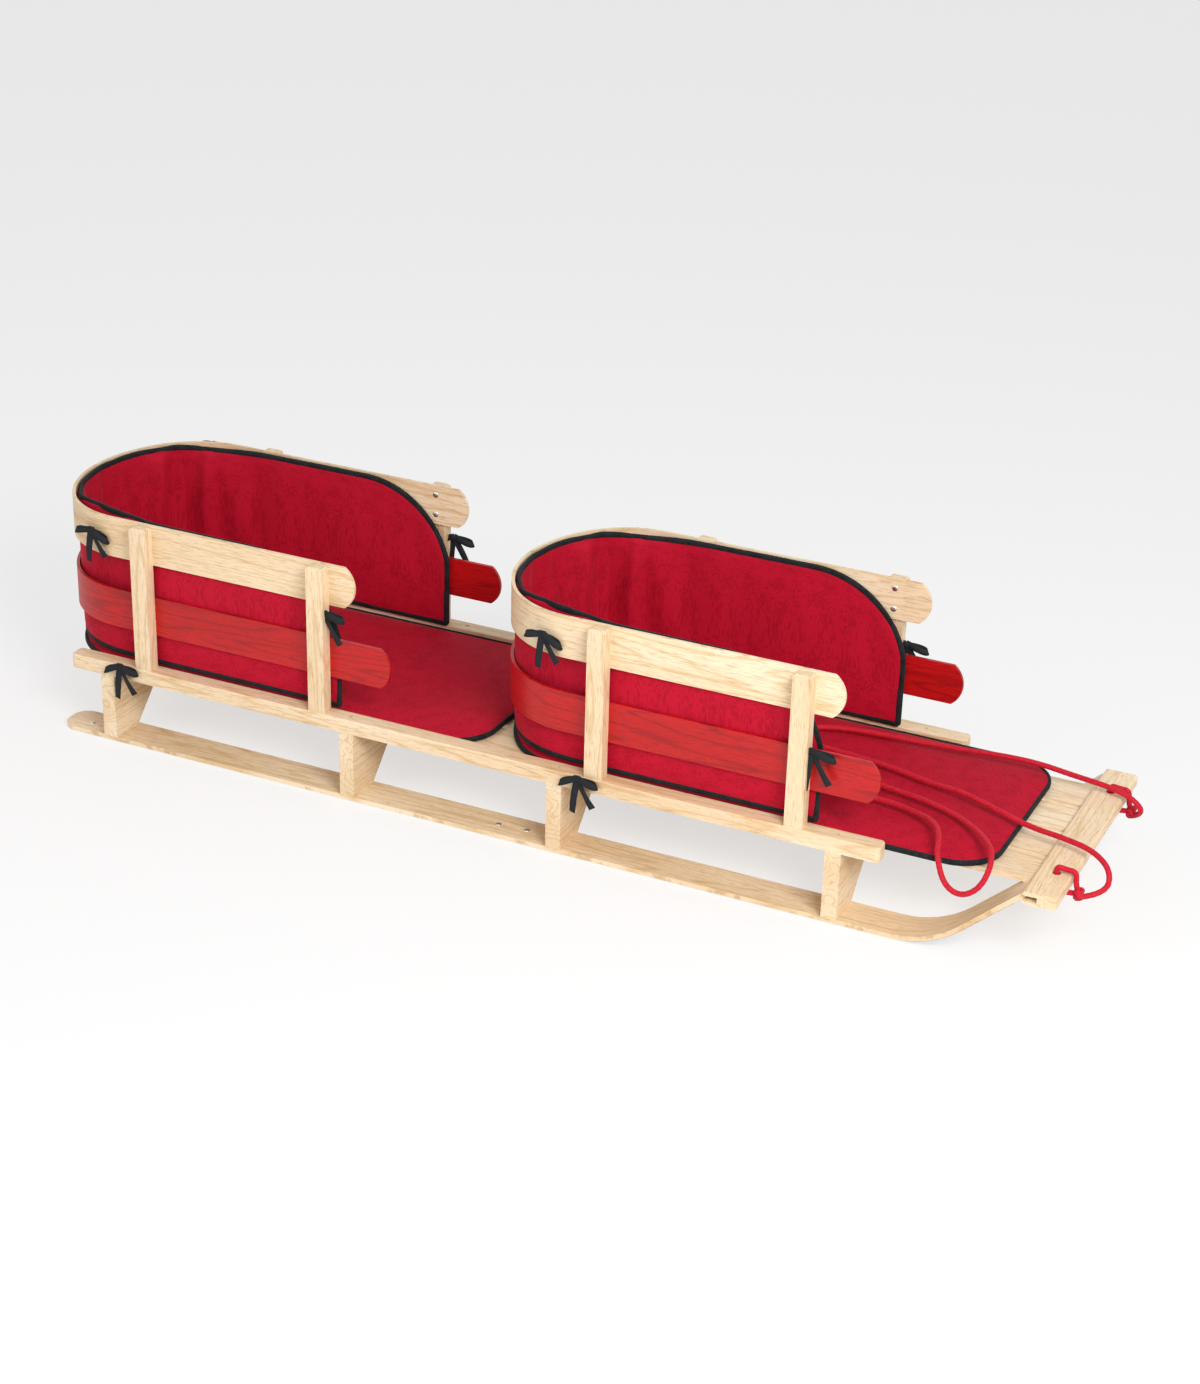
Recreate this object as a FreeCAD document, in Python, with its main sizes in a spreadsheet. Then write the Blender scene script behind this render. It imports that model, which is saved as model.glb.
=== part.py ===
import FreeCAD, Part
import math
import os
import Sketcher

# Tandem pull sled: two bent runners, four bunks, two side rails, a slatted deck, a front
# crosspiece and two open tubs made of posts and bent bands, with a soft cushion set in each
# tub and a tow rope tied to the crosspiece.  X runs forward, Y to the left, Z up.  The origin
# is under the middle of the sled, on the ground.

DRIVING_SIZES = {
    # runners and their steel shoes
    "runner_width": 58.0, "runner_thick": 6.8, "runner_inset": 2.1, "runner_tail": 29.0,
    "runner_tail_radius": 24.0, "shoe_thick": 1.2, "shoe_inset": 2.0, "bend_start": 1320.0,
    "bend_radius": 152.0, "bend_angle": 42.2, "tip_reach": 6.0, "tip_shoulder": 14.0,
    "shoe_end": 12.0,
    # bunks
    "bunk_drop": 103.0, "bunk_thick": 23.0, "foot_width": 57.4, "arch_rise": 60.0,
    "arch_half": 79.0, "arch_radius": 14.0,
    "bunk_one": 53.0, "bunk_two": 468.0, "bunk_three": 804.0, "bunk_four": 1223.0,
    # side rails and deck
    "rail_length": 1300.0, "rail_spread": 390.0, "rail_width": 27.0, "rail_thick": 22.0,
    "rail_end_radius": 7.0, "rail_edge_radius": 2.0, "screw_hole": 6.5, "screw_depth": 9.0,
    "slat_width": 67.5, "slat_thick": 7.0, "slat_gap": 10.0, "slat_tail": 6.0,
    # front crosspiece
    "cross_front": 1546.5, "cross_depth": 47.0, "cross_length": 395.0, "cross_thick": 18.7,
    "cross_radius": 4.0, "cross_lip": 6.5, "groove_depth": 20.0, "groove_play": 0.3,
    "rope_hole": 12.0, "rope_hole_spread": 260.0, "rope_hole_back": 21.0,
    # posts
    "post_thick": 19.0, "post_depth": 27.0, "post_rise": 227.0, "post_inset": 1.5,
    "post_edge": 3.0, "post_rear": 116.0, "post_spacing": 300.0,
    # tubs
    "tub_pitch": 745.0, "tub_overhang": 73.5, "tub_corner": 135.0, "tub_back": 205.0,
    "band_thick": 4.8, "band_tip_radius": 38.0,
    "upper_lift": 166.3, "upper_depth": 62.5, "upper_tip": 485.0,
    "lower_lift": 52.6, "lower_depth": 61.3, "lower_tip": 542.0,
    # cushions
    "soft_gap": 0.4, "pad_thick": 18.0, "rear_pad_front": 676.0,
    "front_pad_front": 697.0, "pad_corner": 62.0,
    "wall_thick": 9.0, "wall_top": 227.0, "wall_front": 455.0, "wall_corner": 148.0,
    # tow rope
    "rope_thick": 8.0, "knot_depth": 21.0,
}

RAIL_REAR = "(sizes.tub_overhang - sizes.cross_front) / 2"
BUNK_FOOT = "(sizes.shoe_thick + sizes.runner_thick)"
BUNK_TOP = "(%s + sizes.bunk_drop)" % BUNK_FOOT
RAIL_TOP = "(%s + sizes.rail_thick)" % BUNK_TOP
SLAT_TOP = "(%s + sizes.slat_thick)" % BUNK_TOP
PAD_FLOOR = "(%s + sizes.soft_gap)" % SLAT_TOP
PAD_TOP = "(%s + sizes.pad_thick)" % PAD_FLOOR
RAIL_INNER = "(sizes.rail_spread / 2 - sizes.rail_width)"
BAND_OUTER = "(sizes.rail_spread / 2 - sizes.post_inset - sizes.post_thick)"
RUNNER_OUTER = "(sizes.rail_spread / 2 - sizes.runner_inset)"
DECK_EDGE = "(2 * sizes.slat_width + 1.5 * sizes.slat_gap)"
CROSS_REAR = "(sizes.cross_front - sizes.cross_depth)"
CROSS_FLOOR = "(%s + sizes.groove_play + sizes.cross_lip - sizes.cross_thick)" % SLAT_TOP

# Share of the shorter run beside a corner of the rope's route that its arc takes up, and the
# clearance in millimetres between the crosspiece and the loop of rope round it.
ROPE_ARC_SHARE = 0.45
KNOT_GAP = 0.9

doc = FreeCAD.newDocument("tandem_pull_sled")
sheet = doc.addObject("Spreadsheet::Sheet", "sizes")
for row, (alias, size) in enumerate(DRIVING_SIZES.items(), start=1):
    sheet.set("A%d" % row, alias)
    sheet.set("B%d" % row, str(size))
    sheet.setAlias("B%d" % row, alias)
doc.recompute()

sub_parts = []


def measure(expression):
    """The number that an expression of sheet sizes comes to."""
    result = sheet.evalExpression(str(expression))
    return float(getattr(result, "Value", result))


def new_body(label):
    body = doc.addObject("PartDesign::Body", label)
    body.Label = label
    sub_parts.append(body)
    return body


def place(part, forward="0", left="0", up="0"):
    """Put a sub-part where the expressions say, measured from the rear end of the rails."""
    part.setExpression(".Placement.Base.x", "%s + %s" % (RAIL_REAR, forward))
    part.setExpression(".Placement.Base.y", left)
    part.setExpression(".Placement.Base.z", up)


def new_sketch(body, role):
    sketch = body.newObject("Sketcher::SketchObject", body.Label + "_sketch")
    plane = [item for item in body.Origin.OriginFeatures if item.Role == role][0]
    sketch.AttachmentSupport = [(plane, "")]
    sketch.MapMode = "FlatFace"
    return sketch


def outline(body, role, corners):
    """Closed sketch of straight sides whose corners are pairs of expressions."""
    sketch = new_sketch(body, role)
    points = [FreeCAD.Vector(measure(across), measure(along), 0) for across, along in corners]
    count = len(points)
    for side in range(count):
        sketch.addGeometry(Part.LineSegment(points[side], points[(side + 1) % count]))
    for side in range(count):
        sketch.addConstraint(
            Sketcher.Constraint("Coincident", side, 2, (side + 1) % count, 1))
    for side, (across, along) in enumerate(corners):
        for kind, expression in (("DistanceX", across), ("DistanceY", along)):
            number = sketch.addConstraint(Sketcher.Constraint(
                kind, -1, 1, side, 1, measure(expression)))
            sketch.setExpression("Constraints[%d]" % number, expression)
    return sketch


def pad(body, sketch, length, reverse=False):
    feature = body.newObject("PartDesign::Pad", body.Label + "_pad")
    feature.Profile = sketch
    feature.setExpression("Length", length)
    feature.Reversed = reverse
    doc.recompute()
    return feature


def cut_through(body, sketch):
    """Pocket that goes through the whole body both ways from its sketch."""
    feature = body.newObject("PartDesign::Pocket", body.Label + "_pocket")
    feature.Profile = sketch
    feature.Type = "ThroughAll"
    feature.Midplane = True
    doc.recompute()
    return feature


def long_edges(feature, direction, shortest=0.0):
    """Names of the straight edges of a feature that run along one axis."""
    names = []
    for number, edge in enumerate(feature.Shape.Edges, start=1):
        if len(edge.Vertexes) != 2 or edge.Curve.TypeId != "Part::GeomLine":
            continue
        run = edge.Vertexes[1].Point - edge.Vertexes[0].Point
        if abs(abs(run.dot(direction)) - run.Length) < 1e-6 and run.Length > shortest:
            names.append("Edge%d" % number)
    return names


def rounded(body, feature, edges, radius):
    fillet = body.newObject("PartDesign::Fillet", body.Label + "_round")
    fillet.Base = (feature, edges)
    fillet.setExpression("Radius", radius)
    doc.recompute()
    return fillet


def chamfered(body, feature, edges, size):
    chamfer = body.newObject("PartDesign::Chamfer", body.Label + "_chamfer")
    chamfer.Base = (feature, edges)
    chamfer.setExpression("Size", size)
    doc.recompute()
    return chamfer


ALONG = FreeCAD.Vector(1, 0, 0)
ACROSS = FreeCAD.Vector(0, 1, 0)
UPRIGHT = FreeCAD.Vector(0, 0, 1)


def new_feature(label, shape, forward="0", left="0", up="0"):
    feature = doc.addObject("Part::Feature", label)
    feature.Label = label
    feature.Shape = shape
    sub_parts.append(feature)
    place(feature, forward=forward, left=left, up=up)


def bent_strip(underside, thick, width, inset, end_x):
    """Strip that runs flat, bends up round one arc and rises straight to a vertical cut."""
    start = measure("sizes.bend_start")
    centre_z = measure("sizes.bend_radius")
    turn = math.radians(measure("sizes.bend_angle"))
    low_r = centre_z - underside
    top_r = low_r - thick
    tail = -measure("sizes.runner_tail") + inset
    end_x = measure(end_x)

    def on_arc(radius, angle):
        return FreeCAD.Vector(start + radius * math.sin(angle), 0,
                              centre_z - radius * math.cos(angle))

    def on_slope(radius):
        bend_end = on_arc(radius, turn)
        return FreeCAD.Vector(end_x, 0, bend_end.z + (end_x - bend_end.x) * math.tan(turn))

    low_tail = FreeCAD.Vector(tail, 0, underside)
    top_tail = FreeCAD.Vector(tail, 0, underside + thick)
    edges = [
        Part.LineSegment(low_tail, on_arc(low_r, 0)).toShape(),
        Part.Arc(on_arc(low_r, 0), on_arc(low_r, turn / 2), on_arc(low_r, turn)).toShape(),
        Part.LineSegment(on_arc(low_r, turn), on_slope(low_r)).toShape(),
        Part.LineSegment(on_slope(low_r), on_slope(top_r)).toShape(),
        Part.LineSegment(on_slope(top_r), on_arc(top_r, turn)).toShape(),
        Part.Arc(on_arc(top_r, turn), on_arc(top_r, turn / 2), on_arc(top_r, 0)).toShape(),
        Part.LineSegment(on_arc(top_r, 0), top_tail).toShape(),
        Part.LineSegment(top_tail, low_tail).toShape(),
    ]
    strip = Part.Face(Part.Wire(edges)).extrude(ACROSS * width)
    corners = [edge for edge in strip.Edges
               if max(point.X for point in edge.Vertexes) < tail + 1
               and abs(edge.Vertexes[0].Z - edge.Vertexes[-1].Z) > thick / 2]
    return strip.makeFillet(measure("sizes.runner_tail_radius") - inset, corners)


def make_runner(name, side):
    """Ash runner; its tip is trimmed level to sit in the crosspiece beside the outer slat."""
    width = measure("sizes.runner_width")
    strip = bent_strip(measure("sizes.shoe_thick"), measure("sizes.runner_thick"), width, 0,
                       CROSS_REAR + " + sizes.tip_reach")
    cross_rear = measure(CROSS_REAR)
    reach = measure("sizes.cross_depth")
    above = Part.makeBox(2 * reach, width + 2, reach,
                         FreeCAD.Vector(cross_rear - reach, -1, measure(SLAT_TOP)))
    inner_part = width - measure("%s - %s - sizes.soft_gap" % (RUNNER_OUTER, DECK_EDGE))
    edge = RUNNER_OUTER
    left = edge + " - sizes.runner_width" if side > 0 else "-" + edge
    tip = strip.cut(above)
    if inner_part > 0:
        # the part that would meet the outer slat stops short of the crosspiece
        inner_y = -1 if side > 0 else width - inner_part
        tip = tip.cut(Part.makeBox(
            2 * reach, inner_part + 1, 3 * reach,
            FreeCAD.Vector(cross_rear - measure("sizes.tip_shoulder"), inner_y, reach)))
    new_feature("runner_" + name, tip, left=left)


def make_shoe(name, side):
    inset = measure("sizes.shoe_inset")
    width = measure("sizes.runner_width") - 2 * inset
    strip = bent_strip(0, measure("sizes.shoe_thick"), width, inset,
                       CROSS_REAR + " - sizes.shoe_end")
    edge = "(%s - sizes.shoe_inset)" % RUNNER_OUTER
    left = edge + " - sizes.runner_width + 2 * sizes.shoe_inset" if side > 0 else "-" + edge
    new_feature("runner_shoe_" + name, strip, left=left)


def make_bunk(name, station):
    """Crossboard with a foot at each side and an arch between the feet."""
    body = new_body("bunk_" + name)
    half = "sizes.rail_spread / 2"
    foot = "(%s - sizes.foot_width)" % half
    corners = [
        ("-" + half, "0"), ("-" + foot, "0"), ("-sizes.arch_half", "sizes.arch_rise"),
        ("sizes.arch_half", "sizes.arch_rise"), (foot, "0"), (half, "0"),
        (half, "sizes.bunk_drop"), ("-" + half, "sizes.bunk_drop"),
    ]
    board = pad(body, outline(body, "YZ_Plane", corners), "sizes.bunk_thick")
    arch = measure("sizes.arch_rise")
    edges = [edge for edge in long_edges(board, ALONG)
             if abs(board.Shape.getElement(edge).Vertexes[0].Point.z - arch) < 1e-6]
    rounded(body, board, edges, "sizes.arch_radius")
    place(body, forward=station, up=BUNK_FOOT)


def make_rail(name, side):
    body = new_body("side_rail_" + name)
    corners = [("0", "0"), ("sizes.rail_length", "0"),
               ("sizes.rail_length", "sizes.rail_width"), ("0", "sizes.rail_width")]
    bar = pad(body, outline(body, "XY_Plane", corners), "sizes.rail_thick")
    bar = rounded(body, bar, long_edges(bar, UPRIGHT), "sizes.rail_end_radius")
    top = measure("sizes.rail_thick")
    rims = ["Edge%d" % number for number, edge in enumerate(bar.Shape.Edges, start=1)
            if all(abs(corner.Z - top) < 1e-6 for corner in edge.Vertexes)]
    rounded(body, bar, rims, "sizes.rail_edge_radius")
    drill_rail(body)
    inner = "%s" % RAIL_INNER
    left = inner if side > 0 else "-%s - sizes.rail_width" % inner
    place(body, left=left, up=BUNK_TOP)


def drill_rail(body):
    """Screw holes in the top of a rail, one over the middle of each bunk."""
    sketch = new_sketch(body, "XY_Plane")
    sketch.setExpression(".AttachmentOffset.Base.z", "sizes.rail_thick")
    for station in ("bunk_one", "bunk_two", "bunk_three", "bunk_four"):
        middle = "sizes.%s + sizes.bunk_thick / 2" % station
        centre = FreeCAD.Vector(measure(middle), measure("sizes.rail_width / 2"), 0)
        hole = sketch.addGeometry(
            Part.Circle(centre, UPRIGHT, measure("sizes.screw_hole / 2")))
        for kind, expression in (("DistanceX", middle), ("DistanceY", "sizes.rail_width / 2")):
            number = sketch.addConstraint(
                Sketcher.Constraint(kind, -1, 1, hole, 3, measure(expression)))
            sketch.setExpression("Constraints[%d]" % number, expression)
        number = sketch.addConstraint(
            Sketcher.Constraint("Diameter", hole, measure("sizes.screw_hole")))
        sketch.setExpression("Constraints[%d]" % number, "sizes.screw_hole")
    pocket = body.newObject("PartDesign::Pocket", body.Label + "_holes")
    pocket.Profile = sketch
    pocket.setExpression("Length", "sizes.screw_depth")
    doc.recompute()


def make_slat(name, inner_edge):
    body = new_body("deck_slat_" + name)
    length = "(%s + sizes.groove_depth - sizes.groove_play - sizes.slat_tail)" % CROSS_REAR
    corners = [("0", "0"), (length, "0"), (length, "sizes.slat_width"), ("0", "sizes.slat_width")]
    pad(body, outline(body, "XY_Plane", corners), "sizes.slat_thick")
    place(body, forward="sizes.slat_tail", left=inner_edge, up=BUNK_TOP)


def make_crosspiece():
    """Front bar with a groove in its rear face for the slats and the runner tips."""
    body = new_body("front_crosspiece")
    half = "sizes.cross_length / 2"
    lip = "sizes.cross_lip"
    floor = "(sizes.cross_thick - %s - sizes.slat_thick - 2 * sizes.groove_play)" % lip
    roof = "(sizes.cross_thick - %s)" % lip
    corners = [
        ("0", "0"), ("sizes.cross_depth", "0"), ("sizes.cross_depth", "sizes.cross_thick"),
        ("0", "sizes.cross_thick"), ("0", roof), ("sizes.groove_depth", roof),
        ("sizes.groove_depth", floor), ("0", floor),
    ]
    bar = pad(body, outline(body, "XZ_Plane", corners), "sizes.cross_length")
    thick = measure("sizes.cross_thick")
    depth = measure("sizes.cross_depth")
    rims = []
    for name in long_edges(bar, ACROSS):
        corner = bar.Shape.getElement(name).Vertexes[0].Point
        on_outside = abs(corner.x - depth) < 1e-6 or abs(corner.z - thick) < 1e-6
        if on_outside or (corner.x < 1e-6 and corner.z < 1e-6):
            rims.append(name)
    rounded(body, bar, rims, "sizes.cross_radius")
    drill_crosspiece(body)
    place(body, forward=CROSS_REAR, left=half, up=CROSS_FLOOR)


def drill_crosspiece(body):
    """The two upright holes that the tow rope is tied through."""
    sketch = new_sketch(body, "XY_Plane")
    across = "sizes.cross_depth - sizes.rope_hole_back"
    for sign in (-1, 1):
        along = "-sizes.cross_length / 2 + (%d) * sizes.rope_hole_spread / 2" % sign
        centre = FreeCAD.Vector(measure(across), measure(along), 0)
        hole = sketch.addGeometry(Part.Circle(centre, UPRIGHT, measure("sizes.rope_hole / 2")))
        for kind, expression in (("DistanceX", across), ("DistanceY", along)):
            number = sketch.addConstraint(
                Sketcher.Constraint(kind, -1, 1, hole, 3, measure(expression)))
            sketch.setExpression("Constraints[%d]" % number, expression)
        number = sketch.addConstraint(
            Sketcher.Constraint("Diameter", hole, measure("sizes.rope_hole")))
        sketch.setExpression("Constraints[%d]" % number, "sizes.rope_hole")
    cut_through(body, sketch)


def make_post(name, station, side):
    """Upright stake outside the bands; its top and its outer corners are eased."""
    body = new_body(name)
    corners = [("0", "0"), ("sizes.post_depth", "0"),
               ("sizes.post_depth", "sizes.post_thick"), ("0", "sizes.post_thick")]
    stake = pad(body, outline(body, "XY_Plane", corners), "sizes.post_rise")
    top = measure("sizes.post_rise")
    rims = ["Edge%d" % number for number, edge in enumerate(stake.Shape.Edges, start=1)
            if all(abs(corner.Z - top) < 1e-6 for corner in edge.Vertexes)]
    chamfered(body, stake, rims, "sizes.post_edge")
    left = BAND_OUTER if side > 0 else "-%s - sizes.post_thick" % BAND_OUTER
    place(body, forward=station, left=left, up=RAIL_TOP)


def tub_face(offset, front):
    """Plan face inside a tub, lying a given distance inside the outer face of its bands.

    Two straight sides run from the front to the turn; a corner arc on each side and one
    flatter arc across the back join them without a kink.
    """
    half = measure("%s - %s" % (BAND_OUTER, offset))
    corner_r = measure("sizes.tub_corner - %s" % offset)
    back_r = measure("sizes.tub_back - %s" % offset)
    rise = measure("%s - sizes.tub_corner" % BAND_OUTER)
    gap = measure("sizes.tub_back - sizes.tub_corner")
    back_x = measure("sizes.tub_back - sizes.tub_overhang")
    corner_x = back_x - math.sqrt(gap * gap - rise * rise)
    front_x = measure(front)
    join = FreeCAD.Vector(corner_x - corner_r * (back_x - corner_x) / gap,
                          rise + corner_r * rise / gap, 0)
    lean = (math.pi / 2 + math.atan2(join.y - rise, join.x - corner_x)) / 2
    middle = FreeCAD.Vector(corner_x + corner_r * math.cos(lean),
                            rise + corner_r * math.sin(lean), 0)

    def mirrored(point):
        return FreeCAD.Vector(point.x, -point.y, 0)

    turn = FreeCAD.Vector(corner_x, half, 0)
    tip = FreeCAD.Vector(front_x, half, 0)
    back = FreeCAD.Vector(back_x - back_r, 0, 0)
    wire = Part.Wire([
        Part.LineSegment(tip, turn).toShape(),
        Part.Arc(turn, middle, join).toShape(),
        Part.Arc(join, back, mirrored(join)).toShape(),
        Part.Arc(mirrored(join), mirrored(middle), mirrored(turn)).toShape(),
        Part.LineSegment(mirrored(turn), mirrored(tip)).toShape(),
        Part.LineSegment(mirrored(tip), tip).toShape(),
    ])
    return Part.Face(wire)


def ring_solid(offset, thick, front, height):
    """U-shaped wall of a tub: the plan inside one face less the plan inside the other."""
    outer = tub_face(offset, front).extrude(UPRIGHT * height)
    inner = tub_face("(%s + %s)" % (offset, thick), front + " + 1").extrude(UPRIGHT * height)
    return outer.cut(inner)


def side_prism(points, curved):
    """Prism that runs right across the tub over a side view; curved sides are arcs."""
    span = measure("sizes.rail_spread")
    edges = []
    for number, start in enumerate(points):
        end = points[(number + 1) % len(points)]
        if number in curved:
            edges.append(Part.Arc(start, curved[number], end).toShape())
        else:
            edges.append(Part.LineSegment(start, end).toShape())
    face = Part.Face(Part.Wire(edges))
    face.translate(ACROSS * -span / 2)
    return face.extrude(ACROSS * span)


def make_band(name, shift, lift, depth, tip):
    """Steam-bent strip round the inside of the posts, its two tips cut to a shallow curve."""
    height = measure(depth)
    radius = measure("sizes.band_tip_radius")
    tip_x = measure(tip)
    back_x = tip_x - radius + math.sqrt(radius * radius - height * height / 4)
    waste = side_prism(
        [FreeCAD.Vector(back_x, 0, 0), FreeCAD.Vector(back_x, 0, height),
         FreeCAD.Vector(tip_x + 2, 0, height), FreeCAD.Vector(tip_x + 2, 0, 0)],
        {0: FreeCAD.Vector(tip_x, 0, height / 2)})
    strip = ring_solid("0", "sizes.band_thick", tip, height).cut(waste)
    new_feature(name, strip, forward=shift, up="%s + %s" % (RAIL_TOP, lift))


def make_wall(name, shift):
    """Padded wall of the cushion set, inside the bands; its front corners are swept down."""
    offset = "(sizes.band_thick + sizes.soft_gap)"
    bottom = "(%s + sizes.soft_gap)" % PAD_TOP
    height = measure("%s + sizes.wall_top - %s" % (RAIL_TOP, bottom))
    front = measure("sizes.wall_front")
    sweep = measure("sizes.wall_corner")
    bulge = sweep * (1 - math.sqrt(0.5))
    waste = side_prism(
        [FreeCAD.Vector(front - sweep, 0, height), FreeCAD.Vector(front, 0, height - sweep),
         FreeCAD.Vector(front + 2, 0, height - sweep), FreeCAD.Vector(front + 2, 0, height + 2),
         FreeCAD.Vector(front - sweep, 0, height + 2)],
        {0: FreeCAD.Vector(front - bulge, 0, height - bulge)})
    wall = ring_solid(offset, "sizes.wall_thick", "sizes.wall_front", height).cut(waste)
    new_feature(name, wall, forward=shift, up=bottom)


def make_seat_pad(name, shift, front_end):
    """Seat pad between the rails: round at the back like the tub, round front corners."""
    offset = "(%s - %s + sizes.soft_gap)" % (BAND_OUTER, RAIL_INNER)
    slab = tub_face(offset, front_end).extrude(UPRIGHT * measure("sizes.pad_thick"))
    front = measure(front_end)
    corners = [edge for edge in slab.Edges
               if len(edge.Vertexes) == 2
               and abs(edge.Vertexes[0].X - front) < 1e-6
               and abs(edge.Vertexes[1].X - front) < 1e-6
               and abs(edge.Vertexes[0].Z - edge.Vertexes[1].Z) > 1]
    slab = slab.makeFillet(measure("sizes.pad_corner"), corners)
    new_feature(name, slab, forward=shift, up=PAD_FLOOR)


# Route of the tow rope from the right-hand knot, up over the crosspiece, along the seat of the
# front tub, out past the right-hand edge of the pad in one hanging bight, back in and across
# to the left-hand knot.  Millimetres forward of the rails' rear end, left of the middle line
# and above the ground.
ROPE_ROUTE = [
    (1566, -122, 92), (1590, -112, 101), (1590, -98, 128), (1560, -80, 142), (1512, -62, 141),
    (1462, -48, 138), (1412, -34, 144), (1356, -14, 148), (1300, 2, 142), (1240, 20, 143),
    (1176, 32, 142), (1110, 36, 143), (1048, 24, 142), (1010, -8, 143), (1004, -52, 142),
    (1030, -88, 143), (1084, -102, 142), (1144, -98, 143), (1200, -84, 142), (1256, -76, 143),
    (1306, -86, 142), (1346, -112, 148), (1366, -146, 149), (1374, -180, 138),
    (1392, -198, 106), (1418, -202, 96), (1442, -198, 112), (1450, -180, 140),
    (1438, -146, 149), (1408, -108, 146), (1364, -70, 142), (1308, -50, 143),
    (1248, -38, 142), (1186, -24, 143), (1130, -20, 142), (1090, 4, 150), (1072, 44, 150),
    (1086, 84, 143), (1128, 106, 142), (1184, 112, 143), (1244, 116, 142), (1304, 120, 143),
    (1364, 122, 147), (1420, 124, 147), (1474, 122, 141), (1524, 115, 140),
    (1562, 108, 134), (1581, 110, 113), (1569, 121, 95),
]


def make_rope():
    """Straight runs joined by tangent arcs, swept with the rope's round section."""
    rear = measure(RAIL_REAR)
    points = [FreeCAD.Vector(x + rear, y, z) for x, y, z in ROPE_ROUTE]
    radius = measure("sizes.rope_thick / 2")
    edges, start = [], points[0]
    for before, corner, after in zip(points, points[1:], points[2:]):
        run_in, run_out = corner - before, after - corner
        turn = run_in.getAngle(run_out)
        setback = ROPE_ARC_SHARE * min(run_in.Length, run_out.Length)
        bend = setback / math.tan(turn / 2)
        arrive = corner - FreeCAD.Vector(run_in).normalize() * setback
        leave = corner + FreeCAD.Vector(run_out).normalize() * setback
        inward = (arrive + leave) * 0.5 - corner
        depth = bend / math.cos(turn / 2) - bend
        crown = corner + inward.normalize() * depth
        edges.append(Part.LineSegment(start, arrive).toShape())
        edges.append(Part.Arc(arrive, crown, leave).toShape())
        start = leave
        print("rope bend radius %.0f mm, turn %.0f degrees" % (bend, math.degrees(turn)))
    edges.append(Part.LineSegment(start, points[-1]).toShape())
    path = Part.Wire(edges)
    section = Part.Wire(Part.Circle(points[0], points[1] - points[0], radius).toShape())
    tube = path.makePipeShell([section], True, False)
    length = path.Length
    volume = math.pi * radius * radius * length
    print("rope length %.0f mm, volume ratio %.4f" % (length, tube.Volume / volume))
    feature = doc.addObject("Part::Feature", "tow_rope")
    feature.Label = "tow_rope"
    feature.Shape = tube
    sub_parts.append(feature)


def make_knot(name, side):
    """Loop of rope round the front of the crosspiece, closed under it by a rounded knot."""
    thick = measure("sizes.rope_thick")
    hole_x = measure("sizes.cross_front - sizes.rope_hole_back")
    top = measure("%s + sizes.cross_thick" % CROSS_FLOOR)
    floor = measure(CROSS_FLOOR)
    front = measure("sizes.cross_front")
    gap = thick / 2 + KNOT_GAP
    bend = thick
    rise, drop = top + gap, floor - gap
    ahead = front + gap

    def corner(x, z, forward, upward):
        """Quarter turn that cuts off one corner of the loop's rectangle."""
        from_x = FreeCAD.Vector(x - forward * bend, 0, z)
        from_z = FreeCAD.Vector(x, 0, z - upward * bend)
        cut = bend * (1 - math.sqrt(0.5))
        return from_x, FreeCAD.Vector(x - forward * cut, 0, z - upward * cut), from_z

    a = corner(hole_x, rise, -1, 1)
    b = corner(ahead, rise, 1, 1)
    c = corner(ahead, drop, 1, -1)
    d = corner(hole_x, drop, -1, -1)
    loop = Part.Wire([
        Part.Arc(a[2], a[1], a[0]).toShape(), Part.LineSegment(a[0], b[0]).toShape(),
        Part.Arc(b[0], b[1], b[2]).toShape(), Part.LineSegment(b[2], c[2]).toShape(),
        Part.Arc(c[2], c[1], c[0]).toShape(), Part.LineSegment(c[0], d[0]).toShape(),
        Part.Arc(d[0], d[1], d[2]).toShape(), Part.LineSegment(d[2], a[2]).toShape(),
    ])
    section = Part.Wire(Part.Circle(d[2], UPRIGHT, thick / 2).toShape())
    ring = loop.makePipeShell([section], True, False)
    knot = Part.makeSphere(measure("sizes.knot_depth / 2"),
                           FreeCAD.Vector(front + measure("sizes.knot_depth / 2") + 1, 0, drop))
    new_feature("tow_rope_knot_" + name, ring.fuse(knot),
                left="(%d) * sizes.rope_hole_spread / 2" % side)


make_runner("left", 1)
make_runner("right", -1)
make_shoe("left", 1)
make_shoe("right", -1)
for bunk_name, bunk_station in (("rear", "sizes.bunk_one"), ("rear_middle", "sizes.bunk_two"),
                                ("front_middle", "sizes.bunk_three"),
                                ("front", "sizes.bunk_four")):
    make_bunk(bunk_name, bunk_station)
make_rail("left", 1)
make_rail("right", -1)
make_slat("outer_left", "1.5 * sizes.slat_gap + sizes.slat_width")
make_slat("inner_left", "sizes.slat_gap / 2")
make_slat("inner_right", "-sizes.slat_gap / 2 - sizes.slat_width")
make_slat("outer_right", "-1.5 * sizes.slat_gap - 2 * sizes.slat_width")
make_crosspiece()
for tub, tub_shift in (("rear_tub", "0"), ("front_tub", "sizes.tub_pitch")):
    for end, post_station in (("back", "sizes.post_rear"),
                              ("front", "sizes.post_rear + sizes.post_spacing")):
        for hand, post_side in (("left", 1), ("right", -1)):
            make_post("%s_%s_post_%s" % (tub, end, hand),
                      "%s + %s" % (post_station, tub_shift), post_side)
    make_band(tub + "_upper_band", tub_shift, "sizes.upper_lift", "sizes.upper_depth",
              "sizes.upper_tip")
    make_band(tub + "_lower_band", tub_shift, "sizes.lower_lift", "sizes.lower_depth",
              "sizes.lower_tip")
    make_seat_pad(tub + "_seat_pad", tub_shift, "sizes.%s_front" % tub.replace("tub", "pad"))
    make_wall(tub + "_wall_cushion", tub_shift)
make_rope()
make_knot("left", 1)
make_knot("right", -1)
doc.recompute()

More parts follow.
